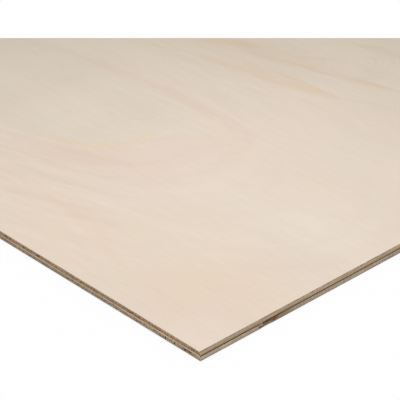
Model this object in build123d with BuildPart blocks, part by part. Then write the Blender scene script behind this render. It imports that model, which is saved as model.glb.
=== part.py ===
from build123d import *
import os

# Plywood sheet of five cross-laid veneers, lying flat on its back veneer.
# All sizes are in millimetres. The origin is the middle of the underside, +X runs along
# the length, which is the grain of the face, +Y across the sheet and +Z up to the face.

# Sheet
sheet_length = 2440.0
sheet_width = 1220.0
arris_easing = 0.1

# Plies, from the underside up
back_thickness = 0.45
lower_crossband_thickness = 1.65
centre_thickness = 0.7
upper_crossband_thickness = 1.7
face_thickness = 0.5

# Knot hole that the saw opened in the lower crossband, at the +X end. The two starts are
# measured from the near corner, which is the one at +X and -Y. The knot leans along the
# end as it rises, so it has one size at its foot and another at its head.
knot_foot_start = 34.0
knot_foot_length = 9.0
knot_foot_reach = 3.5
knot_head_start = 36.5
knot_head_length = 10.0
knot_head_reach = 5.0

# Chip that broke out of the back veneer under the knot hole
chip_length = 7.0
chip_reach = 0.4

# Splits in the end grain of the lower crossband, beside the near corner on the -Y side.
# Each share places one split along the run, and the next two tables size it.
split_run = 24.0
split_width = 1.5
split_reach = 7.0
split_height = 0.9
split_place_shares = (0.29, 0.42, 0.72, 0.98)
split_width_shares = (0.8, 1.0, 0.6, 0.7)
split_reach_shares = (0.7, 1.0, 0.8, 0.6)

# Heights of the glue lines, and of the face
back_top = back_thickness
lower_crossband_top = back_top + lower_crossband_thickness
centre_top = lower_crossband_top + centre_thickness
upper_crossband_top = centre_top + upper_crossband_thickness

# The near corner and the two sides that meet there
end_x = sheet_length / 2
side_y = -sheet_width / 2

# Back veneer: grain along the sheet, eased along its lower edges and chipped at the knot
with BuildPart() as back_veneer:
    with BuildSketch(Plane.XY):
        Rectangle(sheet_length, sheet_width)
    extrude(amount=back_thickness)
    chamfer(back_veneer.faces().sort_by(Axis.Z)[0].edges(), length=arris_easing)
    with BuildSketch(Plane.XY):
        with Locations((end_x, side_y + knot_foot_start + knot_foot_length / 2)):
            Ellipse(chip_reach, chip_length / 2)
    extrude(amount=back_thickness, mode=Mode.SUBTRACT)

# Lower crossband: grain across the sheet, with the knot hole and the splits
with BuildPart() as lower_crossband:
    with BuildSketch(Plane.XY.offset(back_top)):
        Rectangle(sheet_length, sheet_width)
    extrude(amount=lower_crossband_thickness)
    with BuildSketch(Plane.XY.offset(back_top)):
        with Locations((end_x, side_y + knot_foot_start + knot_foot_length / 2)):
            Ellipse(knot_foot_reach, knot_foot_length / 2)
    with BuildSketch(Plane.XY.offset(lower_crossband_top)):
        with Locations((end_x, side_y + knot_head_start + knot_head_length / 2)):
            Ellipse(knot_head_reach, knot_head_length / 2)
    loft(mode=Mode.SUBTRACT)
    split_middle = back_top + lower_crossband_thickness / 2
    with BuildSketch(Plane.XY.offset(split_middle)):
        for place, width, reach in zip(split_place_shares, split_width_shares, split_reach_shares):
            split_x = end_x - place * split_run
            half_width = width * split_width / 2
            with BuildLine():
                Polyline(
                    (split_x - half_width, side_y),
                    (split_x, side_y + reach * split_reach),
                    (split_x + half_width, side_y),
                    close=True,
                )
            make_face()
    extrude(amount=split_height / 2, both=True, mode=Mode.SUBTRACT)

# Centre ply: grain along the sheet
with BuildPart() as centre_ply:
    with BuildSketch(Plane.XY.offset(lower_crossband_top)):
        Rectangle(sheet_length, sheet_width)
    extrude(amount=centre_thickness)

# Upper crossband: grain across the sheet
with BuildPart() as upper_crossband:
    with BuildSketch(Plane.XY.offset(centre_top)):
        Rectangle(sheet_length, sheet_width)
    extrude(amount=upper_crossband_thickness)

# Face veneer: grain along the sheet, eased along its upper edges
with BuildPart() as face_veneer:
    with BuildSketch(Plane.XY.offset(upper_crossband_top)):
        Rectangle(sheet_length, sheet_width)
    extrude(amount=face_thickness)
    chamfer(face_veneer.faces().sort_by(Axis.Z)[-1].edges(), length=arris_easing)

plies = {
    "back_veneer": back_veneer,
    "lower_crossband": lower_crossband,
    "centre_ply": centre_ply,
    "upper_crossband": upper_crossband,
    "face_veneer": face_veneer,
}

os.makedirs("parts", exist_ok=True)
for name, ply in plies.items():
    ply.part.label = name
    export_step(ply.part, f"parts/{name}.step")
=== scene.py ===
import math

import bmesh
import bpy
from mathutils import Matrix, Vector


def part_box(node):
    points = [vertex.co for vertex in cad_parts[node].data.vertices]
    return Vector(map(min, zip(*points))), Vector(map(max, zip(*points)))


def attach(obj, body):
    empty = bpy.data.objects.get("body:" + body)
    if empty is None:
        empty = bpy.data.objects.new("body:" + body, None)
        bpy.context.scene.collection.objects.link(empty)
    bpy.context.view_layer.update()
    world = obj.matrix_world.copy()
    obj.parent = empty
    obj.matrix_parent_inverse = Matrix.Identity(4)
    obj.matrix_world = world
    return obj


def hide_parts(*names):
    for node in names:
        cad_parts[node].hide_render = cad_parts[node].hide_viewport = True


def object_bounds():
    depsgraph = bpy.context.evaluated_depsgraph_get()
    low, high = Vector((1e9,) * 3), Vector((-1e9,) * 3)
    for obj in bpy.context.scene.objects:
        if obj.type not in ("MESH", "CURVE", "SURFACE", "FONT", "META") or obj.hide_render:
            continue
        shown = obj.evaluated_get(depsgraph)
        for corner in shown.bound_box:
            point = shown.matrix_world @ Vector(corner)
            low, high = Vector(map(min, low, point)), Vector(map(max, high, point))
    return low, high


bl_info = {
    "name": "Plywood sheet",
    "version": (1, 0, 0),
    "blender": (4, 5, 0),
    "location": "3D View > Sidebar > Plywood",
    "description": "Five cross-laid veneers with figured faces and sawn edges, and a studio",
    "category": "Add Mesh",
}

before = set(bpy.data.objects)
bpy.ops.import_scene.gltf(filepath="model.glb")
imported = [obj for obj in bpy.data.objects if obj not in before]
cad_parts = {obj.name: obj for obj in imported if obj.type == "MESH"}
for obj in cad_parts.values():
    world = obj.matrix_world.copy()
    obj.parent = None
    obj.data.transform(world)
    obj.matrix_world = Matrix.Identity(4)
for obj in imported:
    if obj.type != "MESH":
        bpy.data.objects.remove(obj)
cad_low, cad_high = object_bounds()

# The near corner of the sheet, from which the marks on the edges and the face are measured
end_x = cad_high.x
side_y = cad_low.y
face_z = cad_high.z

# Closer than this, two places on a mesh count as one
touching = 1e-6

# Figure of the face beside the near corner. Each row gives how far along and across the sheet a middle lies,
# half length and half width, all in metres, and a lean in degrees. The first two make up a tongue together.
tongue_body = (0.300, 0.110, 0.125, 0.047, 0.0)
tongue_tip = (0.213, 0.132, 0.060, 0.021, 5.0)
eye_of_rings = (0.158, 0.258, 0.010, 0.0105, 0.0)

# Darker, greyer wood away from the near corner, partly heart wood and partly painted shade where the light
# falls off. It sets in along and across the sheet: from where, up to where, and how much of it
heart_wood_and_shade_along = (0.12, 0.45, 1.12)
heart_wood_and_shade_across = (0.10, 0.38, 1.12)

# The area of the whole marked figure, in the same terms. Then from where up to where the outline of the
# tongue's tip sets in along the sheet, and the flows change along and across it.
marked_area = (0.200, 0.160, 0.900, 0.400, 0.0)
tip_along = (0.26, 0.19)
flows_along = (0.17, 0.08)
flows_across = (0.15, 0.19)

# Strokes in the figure, in the same terms. A bend in metres follows, and a strength, which is below nought
# where a stroke is paler.
strokes = (
    # Band over the tongue and its near end
    (0.25, 0.158, 0.082, 0.006, 2.0, -0.0065, 1.0),
    (0.289, 0.154, 0.045, 0.0035, 6.0, -0.001, 2.0),
    (0.238, 0.157, 0.040, 0.003, 2.0, 0.0, 2.0),
    (0.196, 0.159, 0.029, 0.004, -5.0, -0.0035, 1.2),
    (0.15, 0.154, 0.026, 0.0025, -8.0, 0.0025, 1.2),
    # Lines and patches under it
    (0.208, 0.072, 0.046, 0.0025, 14.0, 0.002, 2.0),
    (0.172, 0.085, 0.032, 0.010, 24.0, 0.0, 2.0),
    (0.166, 0.123, 0.024, 0.002, 54.0, -0.008, 2.0),
    (0.154, 0.119, 0.016, 0.011, 32.0, -0.005, 1.5),
    (0.216, 0.074, 0.036, 0.001, 16.0, 0.003, -2.5),
    (0.197, 0.151, 0.032, 0.002, -1.0, -0.0015, -1.5),
    (0.116, 0.080, 0.012, 0.001, 28.0, -0.0005, 1.5),
    # Flows towards the long side
    (0.201, 0.059, 0.030, 0.001, 13.0, 0.0025, 2.0),
    (0.170, 0.052, 0.050, 0.0012, 11.0, 0.003, 2.5),
    (0.140, 0.062, 0.018, 0.001, 16.0, 0.0, 1.8),
    (0.138, 0.038, 0.06, 0.009, 5.0, 0.0, 1.2),
    (0.172, 0.033, 0.020, 0.0033, 17.0, 0.0, 1.5),
    (0.125, 0.040, 0.026, 0.0045, 11.0, 0.0005, 2.0),
    (0.191, 0.063, 0.034, 0.001, 13.0, 0.002, -2.0),
    (0.153, 0.048, 0.042, 0.0014, 9.0, 0.0015, -1.8),
    (0.111, 0.057, 0.026, 0.0012, 9.0, -0.002, -1.8),
    (0.106, 0.0235, 0.036, 0.0035, -15.0, -0.003, -1.5),
    (0.064, 0.07, 0.034, 0.0035, 24.0, 0.003, -1.5),
    # Lines beyond the tongue
    (0.224, 0.204, 0.055, 0.002, 7.0, -0.004, 1.8),
    (0.190, 0.217, 0.052, 0.0012, 2.0, -0.0024, 3.0),
    (0.174, 0.208, 0.033, 0.001, 7.0, 0.0015, 1.5),
    (0.142, 0.2165, 0.012, 0.0018, 2.0, -0.001, 2.5),
    (0.117, 0.222, 0.022, 0.0012, 20.0, 0.0, 1.5),
    (0.185, 0.232, 0.037, 0.0014, 8.0, -0.001, 3.5),
    (0.136, 0.241, 0.027, 0.0014, 8.0, 0.0, 3.5),
    (0.200, 0.236, 0.038, 0.007, 7.0, -0.002, 1.3),
    (0.208, 0.242, 0.016, 0.007, 11.0, 0.0, 1.5),
    (0.163, 0.277, 0.024, 0.003, 9.0, 0.0005, 2.5),
    (0.173, 0.197, 0.036, 0.003, 18.0, 0.0005, -1.6),
    (0.152, 0.220, 0.015, 0.002, 4.0, 0.0, -1.2),
    # Weak patches towards the short side
    (0.083, 0.086, 0.012, 0.004, 36.0, 0.001, 1.5),
    (0.063, 0.12, 0.019, 0.0085, 52.0, -0.0015, 1.0),
    (0.036, 0.126, 0.013, 0.005, 34.0, -0.0005, 1.5),
    (0.020, 0.080, 0.028, 0.010, 40.0, 0.0, 1.5),
    (0.117, 0.105, 0.025, 0.003, 60.0, 0.0075, -1.0),
)

# Ochre streaks beyond the tongue, in the same terms
ochre_strokes = (
    (0.190, 0.2105, 0.046, 0.0065, 7.0, -0.0025, 2.2),
    (0.155, 0.2125, 0.020, 0.0033, 8.0, 0.0, 2.5),
    (0.200, 0.235, 0.038, 0.0075, 7.0, -0.002, 2.2),
    (0.185, 0.230, 0.064, 0.0020, 11.0, 0.0, 2.4),
    (0.134, 0.240, 0.013, 0.0035, 9.0, 0.0, 3.5),
    (0.239, 0.227, 0.020, 0.0045, 25.0, -0.0005, 4.5),
    (0.181, 0.246, 0.015, 0.0014, 25.0, -0.0008, 3.5),
)

# Yellow of the curl beside the near corner and of the first streak, in the same terms
yellow_strokes = (
    (0.114, 0.031, 0.049, 0.0026, -12.0, -0.0044, 1.5),
    (0.142, 0.036, 0.036, 0.004, -6.0, -0.003, 1.0),
    (0.190, 0.045, 0.050, 0.020, 12.0, 0.0, 1.0),
    (0.170, 0.010, 0.040, 0.015, 8.0, 0.0, 1.6),
    (0.190, 0.2105, 0.046, 0.0055, 7.0, -0.0025, 2.0),
)

# Patches in the figure, in the same terms, with the colour that each multiplies by
patches = (
    (0.08, 0.034, 0.075, 0.038, 15.0, (0.99, 0.98, 0.955)),
    (0.018, 0.03, 0.05, 0.038, 0.0, (1.0, 0.98, 0.955)),
    (0.006, 0.006, 0.020, 0.020, 0.0, (1.01, 1.025, 1.045)),
    (0.035, 0.106, 0.030, 0.020, 30.0, (1.0, 1.010, 1.015)),
    (0.045, 0.128, 0.035, 0.020, 30.0, (1.0, 1.010, 1.018)),
    (0.070, 0.085, 0.070, 0.045, 25.0, (1.008, 1.02, 1.02)),
)

# Each set of strokes, with how much of red, green and blue one level of a stroke takes away
stroke_tables = (
    (strokes, (-0.0055, -0.0135, -0.015)),
    (ochre_strokes, (-0.002, -0.0135, -0.028)),
    (yellow_strokes, (-0.001, -0.003, -0.020)),
)

# What each part of the figure multiplies the colour of the wood by
tongue_wood = (0.985, 1.0, 1.0)
halo_wood = (0.995, 0.98, 0.975)
outline_wood = (1.0, 0.985, 0.90)
late_wood = (0.95, 0.92, 0.90)
flow_wood = (0.97, 0.955, 0.945)
# Heart wood tone with painted shade where the light falls off away from the near corner
heart_wood_and_shade = (0.768, 0.79, 0.755)
soft_grain_wood = (0.985, 0.979, 0.976)
fibre_wood = (0.975, 0.965, 0.955)

# How far red, green and blue drift apart on the flat of the face and the back
hue_drift = (0.045, 0.015, 0.035)

# Sizes of the clouds in the figure along x, y and z, in metres
flush_clouds = (0.30, 0.045, 1.0)
ring_clouds = (0.75, 0.16, 1.0)
patchy_clouds = (0.12, 0.03, 1.0)
paler_clouds = (1.1, 0.11, 1.0)
hue_clouds = (0.07, 0.03, 1.0)
soft_grain_clouds = (0.05, 0.0035, 1.0)
fibre_clouds = (0.010, 0.0007, 1.0)

# Growth rings from the thinnest to the thickest cloud, and the clouds and the reach by which the free figure
# and the marks beside the near corner are pushed about
ring_count = 26.0
free_wobble = ((0.06, 0.02, 1.0), (0.024, 0.007, 0.0))
steady_wobble = ((0.03, 0.012, 1.0), (0.008, 0.003, 0.0))

# Marks round the knot, on the end of the sheet that holds the near corner: how far across and how high their
# middles lie, half width and half height, all in metres, a lean in degrees, and the colour they multiply by
lower_crossband_marks = (
    ((0.0460, 0.0013, 0.0080, 0.0020, 0.0), (0.84, 0.73, 0.60)),
    ((0.0346, 0.0011, 0.0010, 0.0004, 0.0), (0.35, 0.28, 0.20)),
)
centre_ply_marks = (
    ((0.0410, 0.0022, 0.0060, 0.0010, 0.0), (0.9, 0.8, 0.7)),
    ((0.0352, 0.0024, 0.0009, 0.0006, 0.0), (2.4, 2.5, 2.8)),
)
back_veneer_marks_and_chip_shade = (
    # Painted shade of the chip: the veneer darkened under the knot as if the chip reached deeper
    ((0.0390, 0.0002, 0.0055, 0.0010, 0.0), (0.45, 0.38, 0.30)),
    ((0.0460, 0.0002, 0.0060, 0.0010, 0.0), (0.80, 0.74, 0.70)),
)

# Splits in the end grain of the lower crossband, on the long side beside the near corner. Each has its place,
# its width and its reach, as shares of the splits' run, greatest width and greatest reach.
splits = (
    (0.29, 0.8, 0.7),
    (0.42, 1.0, 1.0),
    (0.72, 0.6, 0.8),
    (0.98, 0.7, 0.6),
)


def number_property(name, description, default, **settings):
    """A number, as the sidebar shows it."""
    return bpy.props.FloatProperty(name=name, description=description, default=default, **settings)


def length_property(name, description, default):
    """A size in metres."""
    return number_property(name, description, default, precision=5, unit="LENGTH", subtype="DISTANCE")


def place_property(name, description, default):
    """A place in metres from the near corner of the face."""
    return bpy.props.FloatVectorProperty(
        name=name, description=description + ", from the near corner of the face", default=default,
        subtype="TRANSLATION", unit="LENGTH",
    )


def colour_property(name, description, default):
    """A linear colour."""
    return bpy.props.FloatVectorProperty(
        name=name, description=description, default=default, min=0.0, max=1.0, subtype="COLOR"
    )


class PlywoodEdges(bpy.types.PropertyGroup):
    """Sizes of the sawn edges, which all five veneers share."""

    cells_along: bpy.props.IntProperty(
        name="Cells along", description="Cells of the flat sides along the sheet", default=12, min=1
    )
    cells_across: bpy.props.IntProperty(
        name="Cells across", description="Cells of the flat sides across the sheet", default=6, min=1
    )
    row_height: length_property("Row height", "Height of one row of faces on a sawn edge", 0.00045)
    step: length_property("Step", "Longest face along a sawn edge", 0.0035)
    corner_step: length_property("Corner step", "Longest face beside the near corner", 0.0009)
    corner_reach: length_property("Corner reach", "How far the finer faces run from the near corner", 0.17)
    saw_allowance: length_property("Saw allowance", "How far inside the frame the sawn edge lies", 0.00005)
    easing: length_property("Easing", "Width of the eased arris of face and back", 0.00006)
    splinter_reach: length_property("Splinter reach", "How far splinters run in from the arris", 0.0008)
    splinter_depth: length_property("Splinter depth", "Depth of the deepest splinter", 0.0002)
    end_grain_relief: length_property("End grain relief", "Depth of the torn end grain", 0.0001)
    long_grain_relief: length_property("Long grain relief", "Depth of the ridges beside the grain", 0.00007)
    glue_line_wave: length_property("Glue line wave", "Height of the waves in the glue lines", 0.0003)


class PlywoodDamage(bpy.types.PropertyGroup):
    """Sizes of the knot hole, the chip and the splits beside the near corner."""

    knot_foot_start: length_property("Knot foot start", "From the near corner to the knot's foot", 0.034)
    knot_foot_length: length_property("Knot foot length", "Length of the knot at its foot", 0.009)
    knot_head_start: length_property("Knot head start", "From the near corner to the knot's head", 0.0365)
    knot_head_length: length_property("Knot head length", "Length of the knot at its head", 0.010)
    knot_wood_depth: length_property("Knot wood depth", "How far back the torn knot wood lies", 0.0009)
    hole_foot_length: length_property("Hole foot length", "Length of the hole at its foot", 0.0085)
    hole_head_length: length_property("Hole head length", "Length of the hole at its head", 0.0015)
    hole_reach: length_property("Hole reach", "How far back the hole reaches", 0.0020)
    chip_length: length_property("Chip length", "Length of the chip in the back veneer", 0.007)
    chip_reach: length_property("Chip reach", "How far in the chip reaches", 0.0003)
    split_run: length_property("Split run", "Stretch of the long side that holds the splits", 0.024)
    split_width: length_property("Split width", "Width of the widest split", 0.0015)
    split_reach: length_property("Split reach", "Depth of the deepest split", 0.007)
    split_height: length_property("Split height", "Height of a split", 0.0009)


class PlywoodColours(bpy.types.PropertyGroup):
    """Colours of the woods."""

    face: colour_property("Face", "Pale wood of the face", (0.80, 0.685, 0.58))
    face_flush: colour_property("Face flush", "Pinkish wood of the face", (0.79, 0.67, 0.565))
    face_long: colour_property("Face long", "Sawn edge of the face along the grain", (0.512, 0.405, 0.306))
    face_end: colour_property("Face end", "End grain of the face veneer", (0.347, 0.264, 0.190))
    upper_long: colour_property("Upper long", "Long grain of the upper crossband", (0.437, 0.321, 0.213))
    upper_end: colour_property("Upper end", "End grain of the upper crossband", (0.306, 0.194, 0.111))
    lower_long: colour_property("Lower long", "Long grain of the lower crossband", (0.434, 0.345, 0.241))
    lower_end: colour_property("Lower end", "End grain of the lower crossband", (0.314, 0.233, 0.154))
    centre_long: colour_property("Centre long", "Long grain of the centre ply", (0.563, 0.410, 0.268))
    centre_end: colour_property("Centre end", "End grain of the centre ply", (0.106, 0.054, 0.019))
    back: colour_property("Back", "Wood of the back", (0.66, 0.52, 0.39))
    back_flush: colour_property("Back flush", "Pinkish wood of the back", (0.61, 0.46, 0.33))
    back_long: colour_property("Back long", "Sawn edge of the back along the grain", (0.252, 0.199, 0.142))
    back_end: colour_property("Back end", "End grain of the back", (0.225, 0.180, 0.123))
    knot: colour_property("Knot", "Torn wood of the knot", (0.29, 0.17, 0.078))
    # Dark torn wood at the bottom of the knot hole, the chip and the splits, which the knot wood blends to as
    # painted shade
    hole_dark_and_shade: colour_property("Knot depth", "Bottom of the hole in the knot", (0.065, 0.034, 0.013))


class PlywoodStudio(bpy.types.PropertyGroup):
    """Camera, lamps and backdrop."""

    eye: place_property("Eye", "Where the camera stands", (0.4525, -0.3538, 0.3889))
    aim: place_property("Aim", "What the camera looks at", (-0.10163, 0.08724, 0.0))
    roll: number_property(
        "Roll", "Turn of the camera about its own axis", math.radians(-4.278), unit="ROTATION",
        subtype="ANGLE",
    )
    focal_length: number_property("Focal length", "Focal length in millimetres", 145.92, min=1.0)
    sky: number_property("Sky", "Strength of the even light from all round", 0.935, min=0.0)
    lamp_power: number_property(
        "Lamp power", "Power of the softbox over the near corner", 0.4, min=0.0, unit="POWER"
    )
    lamp_size: length_property("Lamp size", "Side of the softbox", 0.6)
    lamp_place: place_property("Lamp place", "Middle of the softbox", (-0.05, 0.045, 0.6))
    floor_size: length_property("Floor size", "Side of the floor", 60.0)
    margin_share: number_property(
        "Margin share", "Share of the picture's height that its white margin takes", 38 / 400,
        min=0.0, max=1.0, subtype="FACTOR",
    )


# Objects and edit mode


def deselect_all():
    """Leaves edit mode, and nothing selected."""
    if bpy.context.mode != "OBJECT":
        bpy.ops.object.mode_set(mode="OBJECT")
    bpy.ops.object.select_all(action="DESELECT")


def make_active(piece):
    """Selects one object alone."""
    deselect_all()
    piece.select_set(True)
    bpy.context.view_layer.objects.active = piece


def name_piece(name):
    """Names the object that an operator has just made."""
    piece = bpy.context.object
    piece.name = name
    piece.data.name = name
    return piece


def add_slab(name, low, high):
    """A box between two corners of the frame, with its place and size in its mesh."""
    deselect_all()
    bpy.ops.mesh.primitive_cube_add(size=1.0, location=(low + high) / 2)
    bpy.ops.transform.resize(value=high - low)
    bpy.ops.object.transform_apply(location=True, rotation=True, scale=True)
    return name_piece(name)


def pick(piece, kind, test):
    """In edit mode, selects the vertices, edges or faces that a test picks by place. Gives their number."""
    bpy.ops.mesh.select_mode(type=kind)
    bpy.ops.mesh.select_all(action="DESELECT")
    mesh = bmesh.from_edit_mesh(piece.data)
    parts = {"VERT": mesh.verts, "EDGE": mesh.edges, "FACE": mesh.faces}[kind]
    picked = [part for part in parts if test(part)]
    for part in picked:
        part.select_set(True)
    bmesh.update_edit_mesh(piece.data)
    return len(picked)


def span(edge):
    """How far an edge runs along x, y and z."""
    first, second = edge.verts
    return Vector(map(abs, first.co - second.co))


def middle(edge):
    """The middle of an edge."""
    first, second = edge.verts
    return (first.co + second.co) / 2


def apply_modifier(piece, kind, **settings):
    """Adds a modifier with its settings, and applies it."""
    make_active(piece)
    bpy.ops.object.modifier_add(type=kind)
    modifier = piece.modifiers[-1]
    for name, value in settings.items():
        setattr(modifier, name, value)
    bpy.ops.object.modifier_apply(modifier=modifier.name)


def roughen(piece, group, direction, depth, grain, shift=(0.0, 0.0, 0.0), from_share=0.0, middle_level=0.5):
    """Moves a vertex group by clouds as large as the grain along x, y and z, which start at the shift.
    Where the clouds are thinner than the from share, they count as none."""
    deselect_all()
    bpy.ops.object.empty_add(location=shift)
    guide = bpy.context.object
    guide.scale = grain
    bpy.context.view_layer.update()
    clouds = bpy.data.textures.new(f"{piece.name} {group}", "CLOUDS")
    clouds.noise_scale = 1.0
    clouds.noise_depth = 2
    clouds.use_color_ramp = True
    start = clouds.color_ramp.elements[0]
    start.position = from_share
    start.color = (0.0, 0.0, 0.0, 1.0)
    apply_modifier(
        piece, "DISPLACE", texture=clouds, texture_coords="OBJECT", texture_coords_object=guide,
        vertex_group=group, direction=direction, strength=depth, mid_level=middle_level,
    )
    bpy.data.objects.remove(guide)
    bpy.data.textures.remove(clouds)


def cut_ragged(piece, cutter, depth, grain, material):
    """Makes a closed shape ragged, cuts it out of a piece, gives the cut a material and deletes the shape."""
    cutter.vertex_groups.new(name="all").add(range(len(cutter.data.vertices)), 1.0, "REPLACE")
    cutter.data.materials.append(material)
    roughen(cutter, "all", "NORMAL", depth, grain)
    apply_modifier(
        piece, "BOOLEAN", object=cutter, operation="DIFFERENCE", solver="EXACT", material_mode="TRANSFER"
    )
    bpy.data.objects.remove(cutter)


# Veneers


def wall_edges(half_length, half_width, easing):
    """Tests for the edges that run level along the walls of a ply, and for those that stand up on them."""
    x_limit = half_length - easing - touching
    y_limit = half_width - easing - touching

    def level(edge):
        run, place = span(edge), middle(edge)
        along_side = run.x > run.y + run.z and abs(place.y) > y_limit
        along_end = run.y > run.x + run.z and abs(place.x) > x_limit
        return along_side or along_end

    def upright(edge):
        run, place = span(edge), middle(edge)
        return run.z > run.x + run.y and (abs(place.y) > y_limit or abs(place.x) > x_limit)

    return level, upright


def add_ply(name, node, eased=None):
    """A veneer as sawn: the box of its node, in cells on its flat sides and in fine faces on its edges."""
    easing_rows = 2
    edges = bpy.context.scene.plywood_edges
    low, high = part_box(node)
    inset = Vector((edges.saw_allowance, edges.saw_allowance, 0.0))
    low, high = low + inset, high - inset
    ply = add_slab(name, low, high)
    make_active(ply)
    bpy.ops.object.mode_set(mode="EDIT")
    eased_z = {"face": high.z, "back": low.z, None: None}[eased]
    easing = 0.0
    if eased:
        easing = edges.easing
        pick(ply, "EDGE", lambda edge: abs(middle(edge).z - eased_z) < touching and span(edge).z < touching)
        bpy.ops.mesh.bevel(offset=easing, segments=easing_rows)
    level, upright = wall_edges(high.x, high.y, easing)

    rows = max(1, round((high.z - low.z - easing) / edges.row_height))
    pick(ply, "EDGE", lambda edge: upright(edge) and span(edge).z > 2 * touching + easing)
    if rows > 1:
        bpy.ops.mesh.subdivide(number_cuts=rows - 1)
    pick(ply, "EDGE", lambda edge: span(edge).x > high.x)
    bpy.ops.mesh.subdivide(number_cuts=edges.cells_along - 1)
    pick(ply, "EDGE", lambda edge: span(edge).y > high.y)
    bpy.ops.mesh.subdivide(number_cuts=edges.cells_across - 1)

    def too_long(edge):
        place = middle(edge)
        near = max(high.x - place.x, place.y - low.y) < edges.corner_reach
        return level(edge) and edge.calc_length() > (edges.corner_step if near else edges.step)

    while pick(ply, "EDGE", too_long):
        bpy.ops.mesh.subdivide(number_cuts=1)
    if eased:
        pick(ply, "FACE", lambda face: abs(face.calc_center_median().z - eased_z) < touching)
        bpy.ops.mesh.inset(thickness=edges.splinter_reach, use_even_offset=True)
    bpy.ops.object.mode_set(mode="OBJECT")
    group_edges(ply, high, easing, eased_z)
    return ply


def group_edges(ply, high, easing, eased_z):
    """Vertex groups of a ply for its two long sides, its two ends, its glue lines and its eased arris."""
    x_limit, y_limit = high.x - touching, high.y - touching
    outer_x, outer_y = x_limit - easing, y_limit - easing
    members = {"sides": [], "ends": [], "glue": [], "arris": []}
    for vertex in ply.data.vertices:
        place = vertex.co
        on_side, on_end = abs(place.y) > y_limit, abs(place.x) > x_limit
        if on_side:
            members["sides"].append(vertex.index)
        if on_end:
            members["ends"].append(vertex.index)
        eased_part = eased_z is not None and abs(place.z - eased_z) < easing + touching
        if (on_side or on_end) and not eased_part:
            members["glue"].append(vertex.index)
        if eased_part and (abs(place.y) > outer_y or abs(place.x) > outer_x):
            members["arris"].append(vertex.index)
    for name, indices in members.items():
        ply.vertex_groups.new(name=name).add(indices, 1.0, "REPLACE")


def saw_edges(ply, grain_axis, shift):
    """Waves in the glue lines, and the saw's relief: torn on end grain and ridged beside the grain."""
    wave_length, wave_height = 0.09, 0.004
    ridge_length, ridge_height, tear = 0.012, 0.0004, 0.0012
    edges = bpy.context.scene.plywood_edges
    roughen(ply, "glue", "Z", edges.glue_line_wave, (wave_length, wave_length, wave_height))
    torn, ridged = edges.end_grain_relief, edges.long_grain_relief
    if grain_axis == "X":
        roughen(ply, "sides", "Y", ridged, (ridge_length, ridge_height, ridge_height), shift)
        roughen(ply, "ends", "X", torn, (tear, tear, tear), shift)
    else:
        roughen(ply, "sides", "Y", torn, (tear, tear, tear), shift)
        roughen(ply, "ends", "X", ridged, (ridge_height, ridge_length, ridge_height), shift)


def splinter_arris(ply, up):
    """Small splinters that the saw tore out of the eased arris. Up is 1 for the face and -1 for the back."""
    splinter, bare_share = 0.004, 0.6
    depth = -bpy.context.scene.plywood_edges.splinter_depth * up
    roughen(
        ply, "arris", "Z", depth, (splinter, splinter, splinter), from_share=bare_share, middle_level=0.0
    )


def finish_ply(ply, node, material):
    """Gives a ply its material and smooth normals, and puts it in its node's place."""
    sharp_from = math.radians(25)
    make_active(ply)
    bpy.ops.object.shade_smooth_by_angle(angle=sharp_from)
    ply.data.materials.clear()
    ply.data.materials.append(material)
    ply.vertex_groups.clear()
    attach(ply, "root")
    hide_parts(node)


# Knot hole, chip and splits


def add_plug(name, low_z, high_z, foot, head):
    """A closed round shape between two heights. Foot and head each give start and length along the end of the
    sheet, and the reach into it."""
    sides, rows = 96, 8
    deselect_all()
    bpy.ops.mesh.primitive_cylinder_add(
        vertices=sides, radius=1.0, depth=1.0, end_fill_type="NGON", location=(0.0, 0.0, 0.5)
    )
    bpy.ops.object.transform_apply(location=True, rotation=True, scale=True)
    plug = name_piece(name)
    bpy.ops.object.mode_set(mode="EDIT")
    for level, z, (start, length, reach) in ((0.0, low_z, foot), (1.0, high_z, head)):
        pick(plug, "VERT", lambda vertex: abs(vertex.co.z - level) < touching)
        bpy.ops.transform.resize(value=(reach, length / 2, 1.0), center_override=(0.0, 0.0, level))
        bpy.ops.transform.translate(value=(end_x, side_y + start + length / 2, z - level))
    pick(plug, "EDGE", lambda edge: span(edge).z > touching)
    bpy.ops.mesh.subdivide(number_cuts=rows - 1)
    bpy.ops.object.mode_set(mode="OBJECT")
    return plug


def at_height(z, low_z, high_z, foot, head):
    """Start, length and reach of a leaning knot at a height."""
    share = (z - low_z) / (high_z - low_z)
    return tuple(a + (b - a) * share for a, b in zip(foot, head))


def cut_knot(ply, material):
    """Opens the knot in the lower crossband: torn knot wood close to the end, and a hole at its near end."""
    overrun, rag_depth, rags = 0.0004, 0.0005, (0.0014, 0.0014, 0.0008)
    damage = bpy.context.scene.plywood_damage
    low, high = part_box("lower_crossband")
    lengths = {
        "torn wood": (damage.knot_foot_length, damage.knot_head_length, damage.knot_wood_depth),
        "hole": (damage.hole_foot_length, damage.hole_head_length, damage.hole_reach),
    }
    for name, (foot_length, head_length, reach) in lengths.items():
        foot = (damage.knot_foot_start, foot_length, reach)
        head = (damage.knot_head_start, head_length, reach)
        ends = [at_height(z, low.z, high.z, foot, head) for z in (low.z - overrun, high.z + overrun)]
        plug = add_plug(name, low.z - overrun, high.z + overrun, *ends)
        cut_ragged(ply, plug, rag_depth, rags, material)


def chip_back(ply, material):
    """Breaks the chip out of the back veneer under the knot."""
    overrun, rag_depth, rags = 0.0004, 0.0001, (0.0012, 0.0012, 0.0006)
    damage = bpy.context.scene.plywood_damage
    low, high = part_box("back_veneer")
    start = damage.knot_foot_start + (damage.knot_foot_length - damage.chip_length) / 2
    outline = (start, damage.chip_length, damage.chip_reach)
    plug = add_plug("chip", low.z - overrun, high.z + overrun, outline, outline)
    cut_ragged(ply, plug, rag_depth, rags, material)


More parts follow.
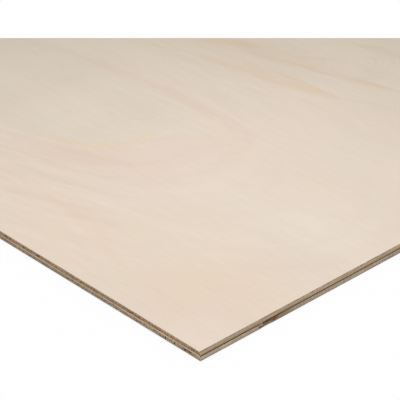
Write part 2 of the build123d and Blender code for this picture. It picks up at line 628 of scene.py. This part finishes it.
def cut_splits(ply, material):
    """Opens the splits in the end grain of the lower crossband, each as a pit that narrows inwards."""
    overrun, rag_depth, rags = 0.0005, 0.0003, (0.0005, 0.002, 0.0005)
    sides, cuts = 24, 3
    damage = bpy.context.scene.plywood_damage
    low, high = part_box("lower_crossband")
    for place, width_share, reach_share in splits:
        width, reach = width_share * damage.split_width, reach_share * damage.split_reach
        middle_y, middle_z = side_y + (reach - overrun) / 2, (low.z + high.z) / 2
        deselect_all()
        bpy.ops.mesh.primitive_cone_add(
            vertices=sides, radius1=width / 2, radius2=0.0, depth=reach + overrun,
            location=(end_x - place * damage.split_run, middle_y, middle_z),
            rotation=(-math.pi / 2, 0.0, 0.0),
        )
        bpy.ops.transform.resize(value=(1.0, 1.0, damage.split_height / width))
        bpy.ops.object.transform_apply(location=True, rotation=True, scale=True)
        pit = name_piece("split")
        bpy.ops.object.mode_set(mode="EDIT")
        bpy.ops.mesh.select_all(action="SELECT")
        bpy.ops.mesh.subdivide(number_cuts=cuts)
        bpy.ops.object.mode_set(mode="OBJECT")
        cut_ragged(ply, pit, rag_depth, rags, material)


# Material nodes


def empty_tree(holder):
    """The node tree of a material or a world, with no nodes in it."""
    holder.use_nodes = True
    holder.node_tree.nodes.clear()
    return holder.node_tree


def add_node(tree, kind, values=None, **settings):
    """A shader node with its settings. Values go to its inputs by name or number, and sockets are linked."""
    node = tree.nodes.new("ShaderNode" + kind)
    for name, value in settings.items():
        setattr(node, name, value)
    for key, value in (values or {}).items():
        if isinstance(value, bpy.types.NodeSocket):
            tree.links.new(value, node.inputs[key])
        else:
            node.inputs[key].default_value = value
    return node


def calculate(tree, operation, *values):
    """One step of arithmetic on numbers or sockets."""
    return add_node(tree, "Math", dict(enumerate(values)), operation=operation).outputs[0]


def calculate_vector(tree, operation, *values):
    """One step of arithmetic on vectors or sockets."""
    return add_node(tree, "VectorMath", dict(enumerate(values)), operation=operation).outputs[0]


def distance(tree, vector):
    """Length of a vector."""
    return add_node(tree, "VectorMath", {0: vector}, operation="LENGTH").outputs["Value"]


def parts_of(tree, vector):
    """The x, y and z of a vector."""
    return add_node(tree, "SeparateXYZ", {0: vector}).outputs


def ramp(tree, value, start, end, low=0.0, high=1.0):
    """A smooth step from low to high as a value goes from start to end."""
    return add_node(
        tree, "MapRange", {"Value": value, 1: start, 2: end, 3: low, 4: high}, interpolation_type="SMOOTHSTEP"
    ).outputs[0]


def blend(tree, factor, first, second, way="MIX"):
    """Mixes two colours by a factor."""
    return add_node(
        tree, "Mix", {0: factor, 6: first, 7: second}, data_type="RGBA", blend_type=way, clamp_factor=True
    ).outputs[2]


def opaque(colour):
    """A colour with its alpha."""
    return (*colour, 1.0)


def tint(tree, colour, factor, by):
    """Multiplies a colour by another, where the factor is one."""
    return blend(tree, factor, colour, opaque(by), "MULTIPLY")


def seen_from(tree, place, origin, size, turn=(0.0, 0.0, 0.0)):
    """Where a place lies from an origin, in units of a size along x, y and z, which a turn leans."""
    return add_node(
        tree, "Mapping", {"Vector": place, "Location": origin, "Rotation": turn, "Scale": size},
        vector_type="TEXTURE",
    ).outputs[0]


def add_clouds(tree, place, size, shift=(0.0, 0.0, 0.0), detail=2.0, turn=0.0):
    """Noise in clouds of a size along x, y and z, as a number about one half and as a colour about grey."""
    mapped = seen_from(tree, place, shift, size, (0.0, turn, 0.0))
    return add_node(tree, "TexNoise", {"Vector": mapped, "Scale": 1.0, "Detail": detail}).outputs


def noise(*values, **settings):
    """The number alone that clouds give."""
    return add_clouds(*values, **settings)[0]


def drift_hue(tree, colour, place, size, reach, shift, detail=2.0):
    """Lets red, green and blue drift apart a little, each by up to its part of the reach, in clouds."""
    drift = add_clouds(tree, place, size, shift, detail)["Color"]
    least = tuple(1.0 - part / 2 for part in reach)
    return blend(tree, 1.0, colour, calculate_vector(tree, "MULTIPLY_ADD", drift, reach, least), "MULTIPLY")


def wobble(tree, place, size, reach, shift):
    """The place on the flat of the sheet, pushed about in clouds, so that what is drawn there looks grown."""
    push = add_clouds(tree, place, size, shift)["Color"]
    push = calculate_vector(tree, "SUBTRACT", push, (0.5, 0.5, 0.5))
    pushed = calculate_vector(tree, "MULTIPLY_ADD", push, reach, place)
    return calculate_vector(tree, "MULTIPLY", pushed, (1.0, 1.0, 0.0))


# Woods


def new_wood(name):
    """A material with its tree, the place on the piece and how far the surface faces x, y and z."""
    material = bpy.data.materials.new(name)
    tree = empty_tree(material)
    coordinates = add_node(tree, "TexCoord").outputs
    facing = parts_of(tree, calculate_vector(tree, "ABSOLUTE", coordinates["Normal"]))
    return material, tree, coordinates["Object"], facing


def finish_wood(tree, colour, height, roughness, relief):
    """Joins colour and height to a wood's shader. Relief is the depth of its height in metres."""
    gloss = 0.3
    bump = add_node(tree, "Bump", {"Strength": 1.0, "Distance": relief, "Height": height})
    shader = add_node(tree, "BsdfPrincipled", {
        "Base Color": colour, "Roughness": roughness, "Specular IOR Level": gloss, "Normal": bump.outputs[0],
    })
    add_node(tree, "OutputMaterial", {"Surface": shader.outputs[0]})


def end_grain(tree, place, colour, shift, glue_z):
    """Colour and height of sawn end grain: pores, slanting checks from peeling, broad blotches, and darker
    wood where glue soaked in over a height."""
    pore, check, check_height, blotch, blotch_height = 0.0005, 0.0006, 0.0018, 0.006, 0.002
    check_slant, soaked_reach, glue_reach = math.radians(18), 0.0008, 0.0002
    dark_share, weak_share, light_share, deep_shares = 0.4, 0.5, 1.58, (0.10, 0.07, 0.05)
    pores = noise(tree, place, (pore, pore, pore), shift)
    checks = noise(tree, place, (check, check, check_height), shift, detail=1.0, turn=check_slant)
    blotches = noise(tree, place, (blotch, blotch, blotch_height), shift)
    dark = calculate(tree, "ADD", ramp(tree, pores, 0.58, 0.36), ramp(tree, checks, 0.56, 0.38))
    dark = calculate(tree, "ADD", dark, ramp(tree, blotches, 0.65, 0.35, 0.0, weak_share))
    if glue_z is not None:
        over = calculate(tree, "SUBTRACT", parts_of(tree, place)[2], glue_z)
        dark = calculate(tree, "ADD", dark, ramp(tree, over, soaked_reach, glue_reach, 0.0, weak_share))
    shade = calculate(tree, "MULTIPLY", dark, dark_share)
    deep = tuple(share * part for share, part in zip(deep_shares, colour))
    light = tuple(min(1.0, light_share * part) for part in colour)
    return blend(tree, shade, opaque(light), opaque(deep)), calculate(tree, "SUBTRACT", 1.0, shade)


def long_grain(tree, place, colour, fibre, shift):
    """Colour and height of a sawn edge beside the grain: fibres, longer bands and faint saw marks."""
    band_size, saw_mark, saw_mark_height = 4.0, 0.0005, 0.008
    fibre_share, band_share, mark_share = 0.45, 0.25, 0.3
    deep_share, light_share = 0.64, 1.33
    fibres = noise(tree, place, fibre, shift, detail=3.0)
    bands = noise(tree, place, tuple(size * band_size for size in fibre), shift)
    marks = noise(tree, place, (saw_mark, saw_mark, saw_mark_height), shift, detail=1.0)
    mixed = calculate(tree, "MULTIPLY", bands, band_share)
    mixed = calculate(tree, "MULTIPLY_ADD", fibres, fibre_share, mixed)
    mixed = calculate(tree, "MULTIPLY_ADD", marks, mark_share, mixed)
    deep = tuple(deep_share * part for part in colour)
    light = tuple(min(1.0, light_share * part) for part in colour)
    return blend(tree, ramp(tree, mixed, 0.34, 0.66), opaque(deep), opaque(light)), mixed


def end_mark(tree, place, across, height, half_width, half_height, lean):
    """One inside a mark on the end of the sheet that holds the near corner, and none outside it."""
    reach, rim_share = 0.008, 0.25
    own = seen_from(
        tree, place, (end_x, side_y + across, height), (reach, half_width, half_height),
        (math.radians(lean), 0.0, 0.0),
    )
    return ramp(tree, distance(tree, own), 1.0 + rim_share, 1.0 - rim_share)


def sawn_edges(tree, place, facing, grain_axis, long_colour, end_colour, shift, marks=(), glue_z=None):
    """Colour and height of a ply's four edges, which show end grain where they face along the grain, and
    have the marks on the end that holds the near corner."""
    fibre_length, fibre_width = 0.012, 0.0003
    hue_size, hue_reach = (0.0015, 0.0015, 0.001), (0.30, 0.22, 0.45)
    if grain_axis == "X":
        along, fibre = facing[0], (fibre_length, fibre_width, fibre_width)
    else:
        along, fibre = facing[1], (fibre_width, fibre_length, fibre_width)
    end_look, end_height = end_grain(tree, place, end_colour, shift, glue_z)
    long_look, long_height = long_grain(tree, place, long_colour, fibre, shift)
    cut_across = ramp(tree, along, 0.5, 0.8)
    height = add_node(tree, "Mix", {0: cut_across, 2: long_height, 3: end_height}).outputs[0]
    colour = blend(tree, cut_across, long_look, end_look)
    colour = drift_hue(tree, colour, place, hue_size, hue_reach, shift)
    for mark, by in marks:
        colour = tint(tree, colour, end_mark(tree, place, *mark), by)
    return colour, height


def edge_wood(name, grain_axis, long_colour, end_colour, shift, marks=(), glue_z=None):
    """Wood of a ply that shows only at its sawn edges."""
    material, tree, place, facing = new_wood(name)
    look = sawn_edges(tree, place, facing, grain_axis, long_colour, end_colour, shift, marks, glue_z)
    finish_wood(tree, *look, roughness=0.8, relief=0.0001)
    return material


def knot_wood(name, colours):
    """Torn knot wood, darkest where it fell out, and browner towards its far end and its top. Further back in
    the hole it turns darker as painted shade. The chip and the splits take it too, so their pits hold the
    same dark colour and painted shade.
    """
    fibre, fibre_height, relief = 0.0015, 0.0004, 0.0003
    # Knot wood that stayed sets in across and upwards, and deeper in the hole painted shade darkens it
    sound_across, sound_height, painted_shade_depth = (0.0375, 0.0405), (0.0012, 0.0018), (0.003, 0.001)
    material, tree, place = new_wood(name)[:3]
    along, across, height = parts_of(tree, place)
    depth = calculate(tree, "SUBTRACT", end_x, along)
    across = calculate(tree, "SUBTRACT", across, side_y)
    fibres = noise(tree, place, (fibre, fibre, fibre_height), detail=3.0)
    far_end, top = ramp(tree, across, *sound_across), ramp(tree, height, *sound_height)
    sound_and_unshaded = calculate(tree, "MAXIMUM", far_end, top)
    # Painted shade in the hole: from one to three millimetres back, up to half of the knot colour turns dark
    sound_and_unshaded = calculate(tree, "MULTIPLY", sound_and_unshaded, ramp(tree, depth, *painted_shade_depth, 0.5, 1.0))
    sound_and_unshaded = calculate(tree, "MULTIPLY", sound_and_unshaded, ramp(tree, fibres, 0.7, 0.3, 0.4, 1.0))
    colour = blend(tree, sound_and_unshaded, opaque(colours.hole_dark_and_shade), opaque(colours.knot))
    finish_wood(tree, colour, fibres, roughness=0.85, relief=relief)
    return material


# Figure of the face and the back


def half_sizes_off(tree, flat, along, across, half_length, half_width, lean):
    """Where a place lies from the middle of a mark on the face, in half sizes of the mark."""
    return seen_from(
        tree, flat, (end_x - along, side_y + across, 0.0), (half_length, half_width, 1.0),
        (0.0, 0.0, math.radians(lean)),
    )


def ring_lines(tree, rings):
    """Late wood of growth rings. It darkens towards a ring's edge and ends there, and some rings are weak."""
    ring = calculate(tree, "FLOOR", rings)
    phase = calculate(tree, "FRACT", rings)
    strength = add_node(tree, "TexWhiteNoise", {"W": ring}, noise_dimensions="1D").outputs["Value"]
    late = calculate(tree, "MULTIPLY", ramp(tree, phase, 0.2, 0.92), ramp(tree, phase, 1.0, 0.94))
    return calculate(tree, "MULTIPLY", late, ramp(tree, strength, 0.1, 1.0, 0.15, 1.0))


def flow_lines(tree, place, rings):
    """Weak lines that run along the growth rings and come and go."""
    clouds_per_metre, clouds_per_ring = 14.0, 2.5
    along = calculate(tree, "MULTIPLY", parts_of(tree, place)[0], clouds_per_metre)
    across = calculate(tree, "MULTIPLY", rings, clouds_per_ring)
    vector = add_node(tree, "CombineXYZ", {0: along, 1: across}).outputs[0]
    lines = add_node(tree, "TexNoise", {"Vector": vector, "Scale": 1.0, "Detail": 3.0}).outputs[0]
    return ramp(tree, lines, 0.35, 0.70)


def stroke_depth(tree, flat, table):
    """How dark the strokes make a place. Each is a band that bends along its length and fades at its rims."""
    rim, core = 1.6, 0.2
    depth = 0.0
    for *ellipse, bend, strength in table:
        own = parts_of(tree, half_sizes_off(tree, flat, *ellipse))
        along = calculate(tree, "MULTIPLY", own[0], own[0])
        across = calculate(tree, "MULTIPLY_ADD", along, -bend / ellipse[3], own[1])
        away = distance(tree, add_node(tree, "CombineXYZ", {0: along, 1: across}).outputs[0])
        depth = calculate(tree, "MULTIPLY_ADD", ramp(tree, away, rim, core), strength, depth)
    return depth


def heart_wood_and_shade_share(tree, flat):
    """How far the wood has turned darker and greyer, partly as heart wood and partly by painted shade where
    the light falls off, by how far along and across the sheet a place lies.
    """
    most, softness = 1.04, 0.3
    along, across = parts_of(tree, flat)[:2]
    start, end, share = heart_wood_and_shade_along
    by_length = ramp(tree, along, end_x - start, end_x - end, 0.0, share)
    start, end, share = heart_wood_and_shade_across
    by_width = ramp(tree, across, side_y + start, side_y + end, 0.0, share)
    return calculate(tree, "SMOOTH_MIN", calculate(tree, "ADD", by_length, by_width), most, softness)


def near_corner_rings(tree, place, steady, tongue, away, rings):
    """Growth rings that close round the tongue and the eye, and how far their lines and their flows show."""
    tongue_rings, eye_rings = 7.0, 4.5
    along, across = parts_of(tree, place)[:2]
    beyond = ramp(tree, across, side_y + flows_across[0], side_y + flows_across[1], 1.0, 0.45)
    beyond = calculate(tree, "MAXIMUM", beyond, ramp(tree, away, 0.35, 0.9))
    behind = ramp(tree, along, end_x - flows_along[0], end_x - flows_along[1], 1.0, 0.3)
    flow_share = calculate(tree, "MULTIPLY", behind, beyond)

    off_eye = half_sizes_off(tree, steady, *eye_of_rings)
    eye = distance(tree, off_eye)
    rings = calculate(tree, "MULTIPLY", rings, ramp(tree, away, 0.3, 1.6, 0.0, ring_count))
    rings = calculate(tree, "ADD", rings, ramp(tree, tongue, 1.0, 3.0, tongue_rings, 0.0))
    rings = calculate(tree, "ADD", rings, ramp(tree, eye, 0.2, 3.0, eye_rings, 0.0))

    sides = parts_of(tree, off_eye)
    open_side = ramp(tree, calculate(tree, "ADD", sides[0], sides[1]), -0.8, 1.2)
    eye_share = calculate(tree, "MULTIPLY", ramp(tree, eye, 3.0, 2.2, 0.0, 1.2), open_side)
    line_share = calculate(tree, "MAXIMUM", ramp(tree, away, 0.2, 1.0), eye_share)
    return rings, line_share, calculate(tree, "MAXIMUM", flow_share, eye_share)


def near_corner_marks(tree, colour, place, steady, tongue, away, shift):
    """Lays the tongue, the strokes, the patches and the heart wood with its painted shade into the colour of
    the face.
    """
    near_tip = ramp(tree, parts_of(tree, place)[0], end_x - tip_along[0], end_x - tip_along[1])
    outline = calculate(tree, "MULTIPLY", ramp(tree, tongue, 0.94, 0.99), ramp(tree, tongue, 1.05, 1.0))
    halo = calculate(tree, "MULTIPLY", ramp(tree, tongue, 0.98, 1.08), ramp(tree, tongue, 1.6, 1.1))
    colour = tint(tree, colour, ramp(tree, tongue, 1.02, 0.96), tongue_wood)
    colour = tint(tree, colour, calculate(tree, "MULTIPLY", halo, near_tip), halo_wood)
    colour = tint(tree, colour, calculate(tree, "MULTIPLY", outline, near_tip), outline_wood)
    for table, level in stroke_tables:
        depth = stroke_depth(tree, steady, table)
        deep = calculate_vector(tree, "MULTIPLY_ADD", depth, level, (1.0, 1.0, 1.0))
        colour = blend(tree, 1.0, colour, deep, "MULTIPLY")
    for *ellipse, by in patches:
        patch = distance(tree, half_sizes_off(tree, steady, *ellipse))
        colour = tint(tree, colour, ramp(tree, patch, 1.3, 0.5), by)
    # Paler clouds away from the figure weaken the heart wood and its painted shade
    paler = ramp(tree, noise(tree, place, paler_clouds, shift), 0.40, 0.62, 0.0, 0.7)
    paler = calculate(tree, "MULTIPLY", paler, ramp(tree, away, 0.4, 1.0))
    return tint(tree, colour, calculate(tree, "SUBTRACT", heart_wood_and_shade_share(tree, steady), paler), heart_wood_and_shade)


def rotary_figure(tree, place, face, flush, shift, near_corner):
    """Colour and fibres of the flat of a rotary-cut veneer, with flushes, growth rings in wide tongues, flows
    and grain. Near the near corner of the face it has the marks given at the top."""
    flushes = noise(tree, place, flush_clouds, shift, detail=3.0)
    colour = blend(tree, ramp(tree, flushes, 0.35, 0.65), opaque(face), opaque(flush))
    flat = wobble(tree, place, *free_wobble, shift)
    rings = noise(tree, flat, ring_clouds, shift, detail=1.0)
    if near_corner:
        away = distance(tree, half_sizes_off(tree, flat, *marked_area))
        steady = wobble(tree, place, *steady_wobble, shift)
        body, tip = (distance(tree, half_sizes_off(tree, steady, *row)) for row in (tongue_body, tongue_tip))
        tongue = calculate(tree, "MINIMUM", body, tip)
        rings, line_share, flow_share = near_corner_rings(tree, place, steady, tongue, away, rings)
    else:
        rings = calculate(tree, "MULTIPLY", rings, ring_count)
        line_share = flow_share = 1.0
    patchy = ramp(tree, noise(tree, place, patchy_clouds, shift), 0.35, 0.6)
    lines = calculate(tree, "MULTIPLY", ring_lines(tree, rings), patchy)
    colour = tint(tree, colour, calculate(tree, "MULTIPLY", lines, line_share), late_wood)
    flows = calculate(tree, "MULTIPLY", flow_lines(tree, place, rings), flow_share)
    colour = tint(tree, colour, flows, flow_wood)
    if near_corner:
        colour = near_corner_marks(tree, colour, place, steady, tongue, away, shift)
    colour = drift_hue(tree, colour, place, hue_clouds, hue_drift, shift, detail=0.0)
    soft_grain = noise(tree, place, soft_grain_clouds, shift)
    colour = tint(tree, colour, ramp(tree, soft_grain, 0.35, 0.65), soft_grain_wood)
    fibres = noise(tree, place, fibre_clouds, shift, detail=4.0)
    return tint(tree, colour, ramp(tree, fibres, 0.35, 0.7), fibre_wood), fibres


def figured_wood(name, face, flush, long_colour, end_colour, shift, near_corner=False, marks=()):
    """Wood of the face and the back: a rotary-cut figure on the flat, and sawn edges."""
    material, tree, place, facing = new_wood(name)
    edge_look, edge_height = sawn_edges(tree, place, facing, "X", long_colour, end_colour, shift, marks)
    face_look, fibres = rotary_figure(tree, place, face, flush, shift, near_corner)
    flat = ramp(tree, facing[2], 0.6, 0.9)
    height = add_node(tree, "Mix", {0: flat, 2: edge_height, 3: fibres}).outputs[0]
    finish_wood(tree, blend(tree, flat, edge_look, face_look), height, roughness=0.6, relief=0.00003)
    return material


# Studio

white = (1.0, 1.0, 1.0, 1.0)


def white_for_the_camera(tree):
    """One where a ray comes from the camera or by way of gloss or glass, so that they see plain white."""
    path = add_node(tree, "LightPath").outputs
    seen = calculate(tree, "MAXIMUM", path["Is Camera Ray"], path["Is Glossy Ray"])
    return calculate(tree, "MAXIMUM", seen, path["Is Transmission Ray"])


def white_glow(tree):
    """A surface that is plain white by itself."""
    return add_node(tree, "Emission", {"Color": white, "Strength": 1.0}).outputs[0]


def light_sky(strength):
    """An even sky, which the camera sees as white."""
    world = bpy.data.worlds.new("studio sky")
    bpy.context.scene.world = world
    tree = empty_tree(world)
    even = add_node(tree, "Background", {"Color": white, "Strength": strength}).outputs[0]
    plain = add_node(tree, "Background", {"Color": white, "Strength": 1.0}).outputs[0]
    mixed = add_node(tree, "MixShader", {0: white_for_the_camera(tree), 1: even, 2: plain}).outputs[0]
    add_node(tree, "OutputWorld", {"Surface": mixed})


def add_floor(size):
    """A white floor that keeps a trace of the sheet's shadow, and more of it along the sheet's foot."""
    drop, shadow_share = 0.0002, 0.03
    contact_reach, contact_share = 0.0003, 0.3
    matt_white = (0.85, 0.85, 0.85, 1.0)
    deselect_all()
    bpy.ops.mesh.primitive_plane_add(size=size, location=(0.0, 0.0, cad_low.z - drop))
    bpy.ops.object.transform_apply(location=True, rotation=True, scale=True)
    floor = name_piece("floor")
    material = bpy.data.materials.new("white floor")
    tree = empty_tree(material)
    matt = add_node(tree, "BsdfDiffuse", {"Color": matt_white}).outputs[0]
    place = calculate_vector(tree, "ABSOLUTE", add_node(tree, "TexCoord").outputs["Object"])
    along, across = parts_of(tree, place)[:2]
    past_end = calculate(tree, "SUBTRACT", along, end_x)
    past_side = calculate(tree, "ADD", across, side_y)
    beyond = calculate(tree, "MAXIMUM", past_end, past_side)
    kept = ramp(tree, beyond, 0.0, contact_reach, 1.0 - contact_share, 1.0 - shadow_share)
    share = calculate(tree, "MULTIPLY", white_for_the_camera(tree), kept)
    mixed = add_node(tree, "MixShader", {0: share, 1: matt, 2: white_glow(tree)}).outputs[0]
    add_node(tree, "OutputMaterial", {"Surface": mixed})
    floor.data.materials.append(material)


def add_softbox(place, aim, size, power):
    """A square soft lamp that faces the near corner."""
    deselect_all()
    bpy.ops.object.light_add(type="AREA", location=place)
    lamp = name_piece("softbox")
    lamp.data.shape = "SQUARE"
    lamp.data.size = size
    lamp.data.energy = power
    lamp.rotation_euler = (aim - place).to_track_quat("-Z", "Y").to_euler()


def add_camera(eye, aim, roll, focal_length):
    """The camera at the photograph's place, turned about its own axis by the roll."""
    nearest = 0.005
    deselect_all()
    bpy.ops.object.camera_add(location=eye)
    camera = name_piece("camera")
    level = (aim - eye).to_track_quat("-Z", "Y").to_matrix()
    camera.rotation_euler = (level @ Matrix.Rotation(roll, 3, "Z")).to_euler()
    camera.data.lens = focal_length
    camera.data.clip_start = nearest
    bpy.context.scene.camera = camera
    bpy.context.view_layer.update()
    return camera


def add_margin_card(camera, share):
    """A small white card close before the lens, as the white margin over the sheet in the photograph."""
    gap, overlap = 0.03, 1.2
    half_view = gap * camera.data.sensor_width / camera.data.lens / 2
    bottom = half_view * (1.0 - 2.0 * share)
    deselect_all()
    bpy.ops.mesh.primitive_plane_add(size=1.0)
    card = name_piece("margin card")
    card.scale = (2 * half_view * overlap, half_view * overlap - bottom, 1.0)
    card.location = (0.0, (half_view * overlap + bottom) / 2, -gap)
    bpy.ops.object.transform_apply(location=True, rotation=True, scale=True)
    card.data.transform(camera.matrix_world)
    material = bpy.data.materials.new("white card")
    tree = empty_tree(material)
    add_node(tree, "OutputMaterial", {"Surface": white_glow(tree)})
    card.data.materials.append(material)
    for kind in ("shadow", "diffuse", "glossy", "transmission", "volume_scatter"):
        setattr(card, f"visible_{kind}", False)


# Operators


class PLYWOOD_OT_stage(bpy.types.Operator):
    """Add the camera, the soft light and the white floor"""

    bl_idname = "plywood.stage"
    bl_label = "Add stage"
    bl_options = {"REGISTER", "UNDO"}

    def execute(self, context):
        studio = context.scene.plywood_studio
        corner = Vector((end_x, side_y, face_z))
        camera = add_camera(
            corner + Vector(studio.eye), corner + Vector(studio.aim), studio.roll, studio.focal_length
        )
        add_margin_card(camera, studio.margin_share)
        light_sky(studio.sky)
        add_softbox(corner + Vector(studio.lamp_place), corner, studio.lamp_size, studio.lamp_power)
        add_floor(studio.floor_size)
        context.scene.view_settings.view_transform = "Standard"
        return {"FINISHED"}


class PLYWOOD_OT_back_veneer(bpy.types.Operator):
    """Add the back veneer, chipped under the knot"""

    bl_idname = "plywood.back_veneer"
    bl_label = "Add back veneer"
    bl_options = {"REGISTER", "UNDO"}

    def execute(self, context):
        colours = context.scene.plywood_colours
        ply = add_ply("back_veneer_wood", "back_veneer", eased="back")
        saw_edges(ply, "X", (0.31, 0.17, 0.05))
        splinter_arris(ply, -1.0)
        torn = knot_wood("chipped back wood", colours)
        wood = figured_wood(
            "back wood", colours.back, colours.back_flush, colours.back_long, colours.back_end,
            (3.1, 1.7, 0.4), marks=back_veneer_marks_and_chip_shade,
        )
        finish_ply(ply, "back_veneer", wood)
        chip_back(ply, torn)
        return {"FINISHED"}


class PLYWOOD_OT_crossbands(bpy.types.Operator):
    """Add both crossbands, the lower one with its knot hole and splits"""

    bl_idname = "plywood.crossbands"
    bl_label = "Add crossbands"
    bl_options = {"REGISTER", "UNDO"}

    def execute(self, context):
        colours = context.scene.plywood_colours
        lower = add_ply("lower_crossband_wood", "lower_crossband")
        saw_edges(lower, "Y", (0.11, 0.37, 0.02))
        lower_wood = edge_wood(
            "lower crossband wood", "Y", colours.lower_long, colours.lower_end, (0.7, 0.2, 0.9),
            marks=lower_crossband_marks,
        )
        finish_ply(lower, "lower_crossband", lower_wood)
        knot = knot_wood("knot wood", colours)
        cut_knot(lower, knot)
        # The splits take the knot wood, dark with painted shade in their pits
        cut_splits(lower, knot)
        upper = add_ply("upper_crossband_wood", "upper_crossband")
        saw_edges(upper, "Y", (0.53, 0.07, 0.03))
        upper_wood = edge_wood(
            "upper crossband wood", "Y", colours.upper_long, colours.upper_end, (0.1, 0.6, 0.3),
            glue_z=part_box("upper_crossband")[0].z,
        )
        finish_ply(upper, "upper_crossband", upper_wood)
        return {"FINISHED"}


class PLYWOOD_OT_centre_ply(bpy.types.Operator):
    """Add the centre ply"""

    bl_idname = "plywood.centre_ply"
    bl_label = "Add centre ply"
    bl_options = {"REGISTER", "UNDO"}

    def execute(self, context):
        colours = context.scene.plywood_colours
        ply = add_ply("centre_ply_wood", "centre_ply")
        saw_edges(ply, "X", (0.23, 0.41, 0.07))
        wood = edge_wood(
            "centre wood", "X", colours.centre_long, colours.centre_end, (0.9, 0.8, 0.1),
            marks=centre_ply_marks,
        )
        finish_ply(ply, "centre_ply", wood)
        return {"FINISHED"}


class PLYWOOD_OT_face_veneer(bpy.types.Operator):
    """Add the face veneer with its rotary-cut figure"""

    bl_idname = "plywood.face_veneer"
    bl_label = "Add face veneer"
    bl_options = {"REGISTER", "UNDO"}

    def execute(self, context):
        colours = context.scene.plywood_colours
        ply = add_ply("face_veneer_wood", "face_veneer", eased="face")
        saw_edges(ply, "X", (0.43, 0.13, 0.06))
        splinter_arris(ply, 1.0)
        wood = figured_wood(
            "face wood", colours.face, colours.face_flush, colours.face_long, colours.face_end,
            (0.0, 0.0, 0.0), near_corner=True,
        )
        finish_ply(ply, "face_veneer", wood)
        return {"FINISHED"}


class PLYWOOD_PT_sheet(bpy.types.Panel):
    """The steps that dress the sheet, and their sizes and colours"""

    bl_idname = "PLYWOOD_PT_sheet"
    bl_label = "Plywood sheet"
    bl_space_type = "VIEW_3D"
    bl_region_type = "UI"
    bl_category = "Plywood"

    def draw(self, context):
        for step in steps:
            self.layout.operator(step.bl_idname)
        for name in settings:
            group = getattr(context.scene, name)
            box = self.layout.box()
            for prop in group.bl_rna.properties:
                if prop.identifier not in {"name", "rna_type"}:
                    box.prop(group, prop.identifier)


settings = {
    "plywood_edges": PlywoodEdges,
    "plywood_damage": PlywoodDamage,
    "plywood_colours": PlywoodColours,
    "plywood_studio": PlywoodStudio,
}
steps = (
    PLYWOOD_OT_stage,
    PLYWOOD_OT_back_veneer,
    PLYWOOD_OT_crossbands,
    PLYWOOD_OT_centre_ply,
    PLYWOOD_OT_face_veneer,
)
classes = (*settings.values(), *steps, PLYWOOD_PT_sheet)


def register():
    for item in classes:
        bpy.utils.register_class(item)
    for name, group in settings.items():
        setattr(bpy.types.Scene, name, bpy.props.PointerProperty(type=group))


def unregister():
    for name in settings:
        delattr(bpy.types.Scene, name)
    for item in reversed(classes):
        bpy.utils.unregister_class(item)


def main():
    register()
    bpy.ops.plywood.stage()
    bpy.ops.plywood.back_veneer()
    bpy.ops.plywood.crossbands()
    bpy.ops.plywood.centre_ply()
    bpy.ops.plywood.face_veneer()


if __name__ == "__main__":
    main()
